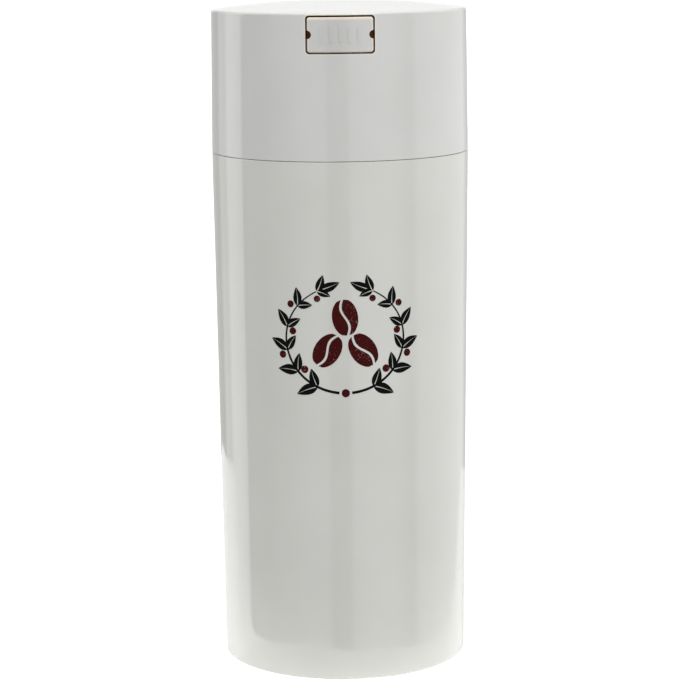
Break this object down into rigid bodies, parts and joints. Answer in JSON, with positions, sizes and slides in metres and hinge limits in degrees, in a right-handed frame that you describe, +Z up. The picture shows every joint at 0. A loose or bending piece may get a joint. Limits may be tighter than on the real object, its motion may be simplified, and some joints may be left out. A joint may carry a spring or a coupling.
{
  "type": "coffee canister with valve",
  "caption": "Tall, slightly tapered canister with a deep push-on cap and a press button in the cap's front that opens a vent valve.",
  "frame": {"origin": "centre of the foot ring's underside, on the surface the canister stands on", "axes": "+Z up along the canister's axis; the press button looks along -Y; +X is to the right when looking at the button"},
  "size_m": [0.0824, 0.0824, 0.2134],
  "materials": {
    "outer_plastic": "glossy pearl white, moulded",
    "liner_plastic": "satin white, moulded",
    "silicone": "milky silicone",
    "stem_plastic": "satin grey acetal",
    "spring_steel": "bright spring wire"
  },
  "bodies": {
    "container": {"container_cup": "outer_plastic", "neck_collar": "liner_plastic"},
    "seal_carrier": {"lip_seal": "silicone"},
    "cap": {"cap_shell": "outer_plastic", "inner_lid": "liner_plastic", "button_spring_left": "spring_steel", "button_spring_right": "spring_steel", "valve_spring": "spring_steel"},
    "button": {"press_button": "outer_plastic"},
    "valve": {"valve_plug": "stem_plastic", "valve_seal": "silicone"}
  },
  "joints": [
    {"name": "cap_lift", "type": "slide", "parent": "container", "child": "seal_carrier", "axis": [0, 0, 1], "range_m": [0, 0.06]},
    {"name": "cap_turn", "type": "hinge", "parent": "seal_carrier", "child": "cap", "pos_m": [0, 0, 0.1945], "axis": [0, 0, 1], "continuous": true},
    {"name": "button_press", "type": "slide", "parent": "cap", "child": "button", "axis": [0, 1, 0], "range_m": [0, 0.003], "stiffness_N_per_m": 1500, "springref_m": -0.0015, "deforming": ["button_spring_left", "button_spring_right"]},
    {"name": "valve_lift", "type": "slide", "parent": "cap", "child": "valve", "axis": [0, 0, 1], "range_m": [0, 0.0015], "deforming": ["valve_spring"]}
  ],
  "couplings": [
    {"joint": "valve_lift", "follows": "button_press", "ratio": 0.5}
  ]
}
